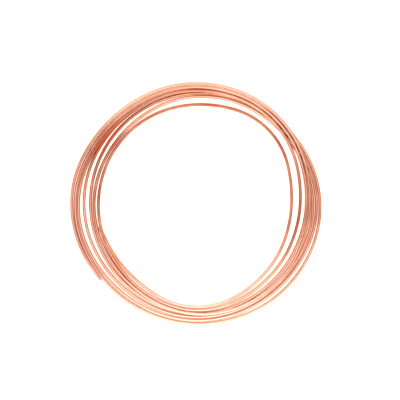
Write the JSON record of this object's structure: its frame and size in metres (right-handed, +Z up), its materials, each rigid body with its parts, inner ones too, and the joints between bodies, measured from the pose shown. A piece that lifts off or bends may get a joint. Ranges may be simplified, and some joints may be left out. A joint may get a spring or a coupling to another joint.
{
  "type": "brake line tubing coil",
  "caption": "Loose flat coil of thin copper hydraulic brake tube, wound by hand round a wide open eye, its turns woven over one another and its ends cut square and left straight.",
  "frame": {"origin": "On the floor, under the middle of the coil's outline as it lies flat.", "axes": "+Z is up, along the axis of the coil's eye. +X points to the side where the innermost turn stands clear of the bundle. Seen from above the tube winds anticlockwise from its inner end to its outer end."},
  "size_m": [0.3882, 0.3754, 0.0149],
  "materials": {
    "tube": "bright drawn copper, lightly dulled"
  },
  "bodies": {
    "root": {"tube": "tube"}
  },
  "joints": []
}
